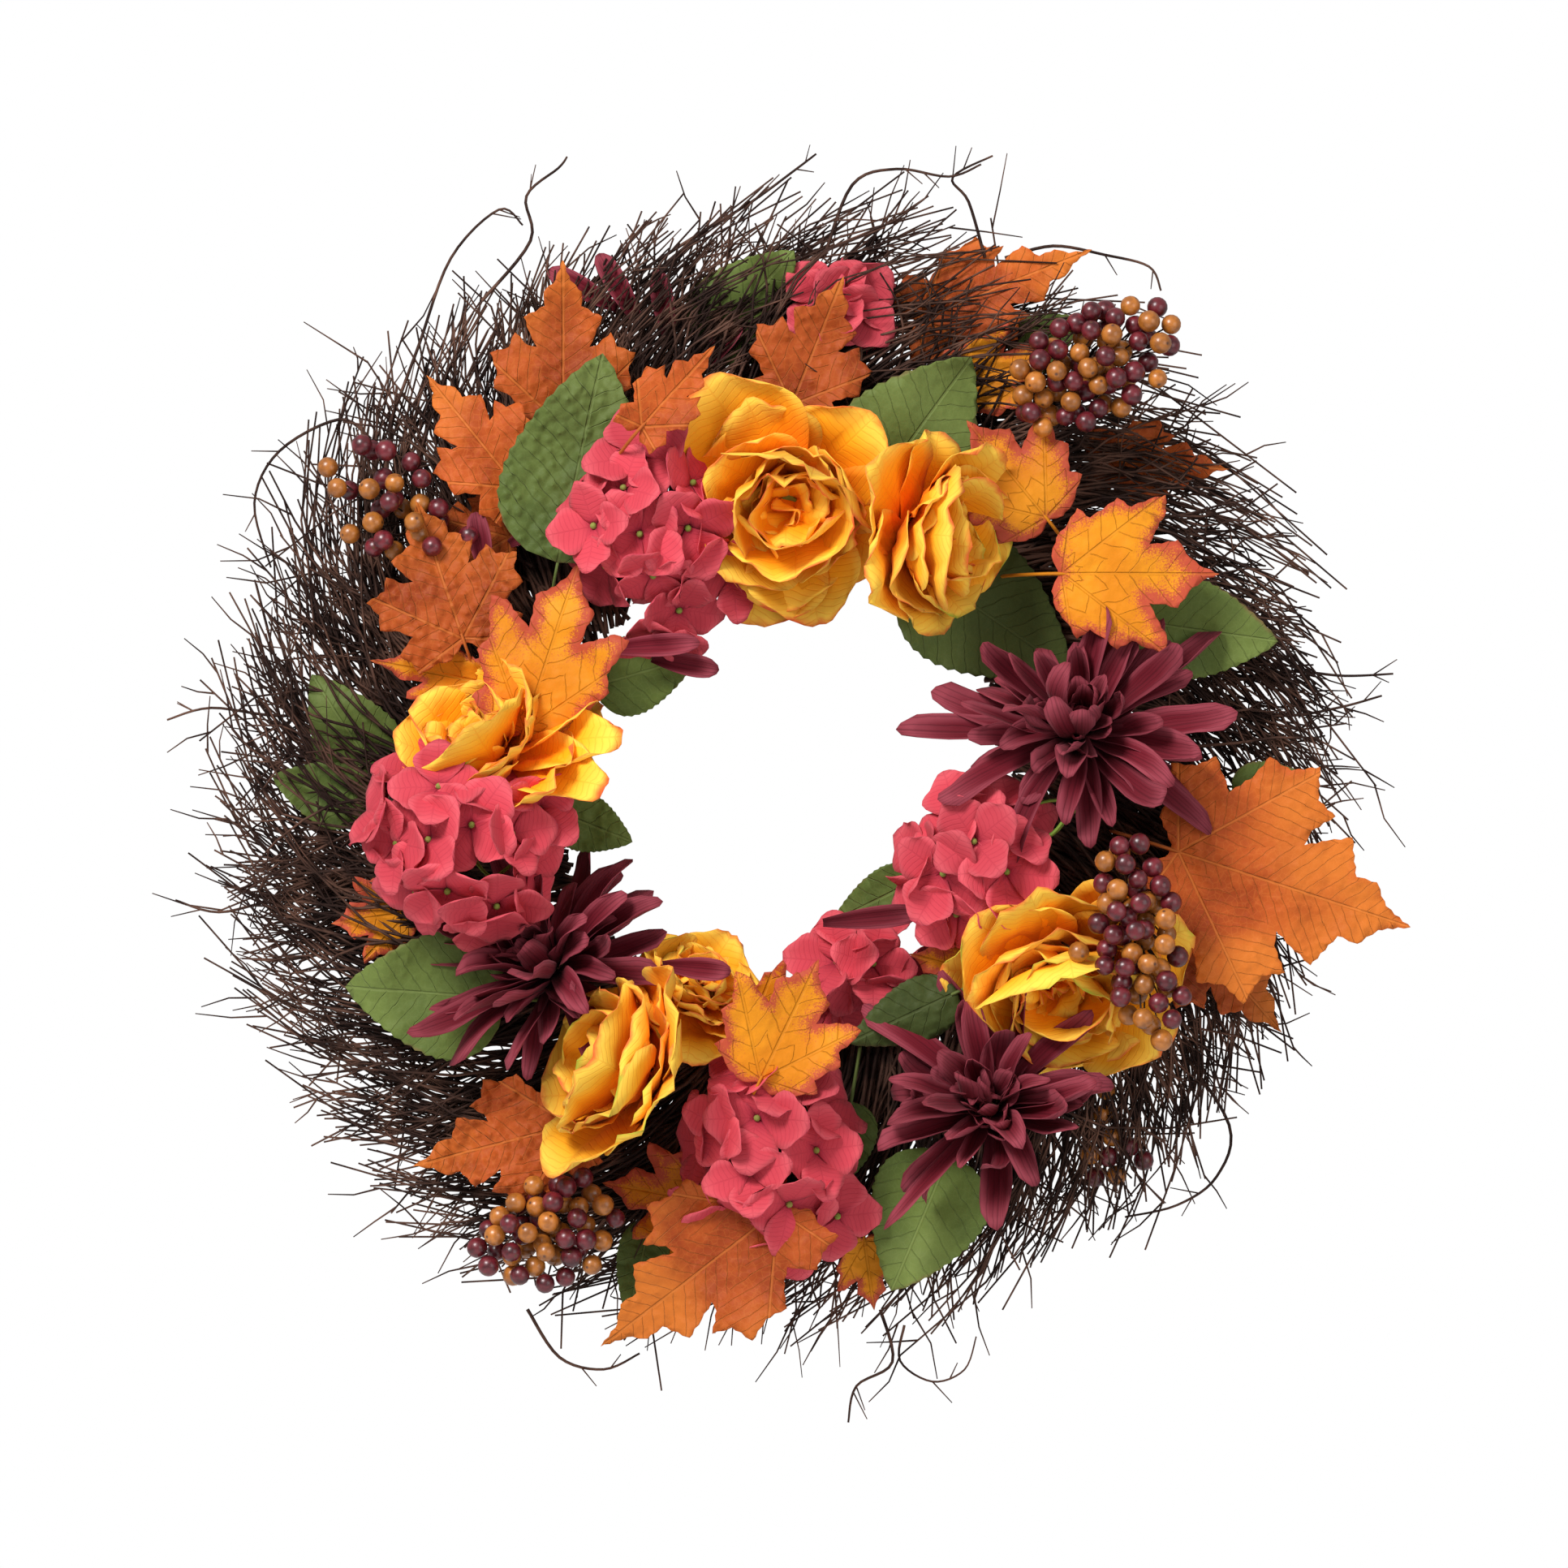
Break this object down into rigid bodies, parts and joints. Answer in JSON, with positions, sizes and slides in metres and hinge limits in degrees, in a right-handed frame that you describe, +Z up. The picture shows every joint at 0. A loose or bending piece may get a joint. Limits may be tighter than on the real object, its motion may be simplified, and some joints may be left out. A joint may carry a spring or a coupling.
{
  "type": "harvest door wreath",
  "caption": "Round twig wreath on a wire ring with silk flowers, maple and green leaves and berry sprays, hung from a folding wire loop at the top of its back.",
  "frame": {"origin": "the hang point: the middle of the wire at the top of the hanging loop, where the door hook bears", "axes": "+Z up, +Y towards the door, the flowers face -Y, +X to the right as seen from the front"},
  "size_m": [0.6136, 0.116, 0.5996],
  "materials": {
    "ring_wire": "satin",
    "loop_wire": "satin",
    "binding_wire": "satin",
    "twig": "matte",
    "peony": "matte",
    "hydrangea": "matte",
    "mum": "matte",
    "berry": "satin",
    "green_leaf": "matte",
    "rust_leaf": "matte",
    "gold_leaf": "matte"
  },
  "bodies": {
    "wreath": {"ring_frame": "ring_wire", "binding_wire": "binding_wire", "twig_bundle_1": "twig", "twig_bundle_2": "twig", "twig_bundle_3": "twig", "twig_bundle_4": "twig", "twig_bundle_5": "twig", "twig_bundle_6": "twig", "twig_bundle_7": "twig", "twig_bundle_8": "twig", "front_twigs_left": "twig", "front_twigs_top": "twig", "front_twigs_upper_right": "twig", "front_twigs_right": "twig", "peony_1": "peony", "peony_2": "peony", "peony_3": "peony", "peony_4": "peony", "peony_5": "peony", "peony_6": "peony", "hydrangea_1": "hydrangea", "hydrangea_2": "hydrangea", "hydrangea_3": "hydrangea", "hydrangea_4": "hydrangea", "hydrangea_5": "hydrangea", "hydrangea_6": "hydrangea", "mum_1": "mum", "mum_2": "mum", "mum_3": "mum", "berry_spray_1": "berry", "berry_spray_2": "berry", "berry_spray_3": "berry", "berry_spray_4": "berry", "green_leaf_1": "green_leaf", "green_leaf_2": "green_leaf", "green_leaf_3": "green_leaf", "green_leaf_4": "green_leaf", "green_leaf_5": "green_leaf", "green_leaf_6": "green_leaf", "green_leaf_7": "green_leaf", "green_leaf_8": "green_leaf", "green_leaf_9": "green_leaf", "green_leaf_10": "green_leaf", "green_leaf_11": "green_leaf", "maple_leaf_1": "rust_leaf", "maple_leaf_2": "rust_leaf", "maple_leaf_3": "rust_leaf", "maple_leaf_4": "gold_leaf", "maple_leaf_5": "gold_leaf", "maple_leaf_6": "rust_leaf", "maple_leaf_7": "rust_leaf", "maple_leaf_8": "gold_leaf", "maple_leaf_9": "gold_leaf", "maple_leaf_10": "rust_leaf", "maple_leaf_11": "rust_leaf", "maple_leaf_12": "rust_leaf", "maple_leaf_13": "gold_leaf", "maple_leaf_14": "rust_leaf", "maple_leaf_15": "rust_leaf"},
    "hanging_loop": {"hanging_loop": "loop_wire"}
  },
  "joints": [
    {"name": "loop_fold", "type": "hinge", "parent": "wreath", "child": "hanging_loop", "pos_m": [0, 0, -0.0232], "axis": [-1, 0, 0], "range_deg": [0, 175]}
  ]
}
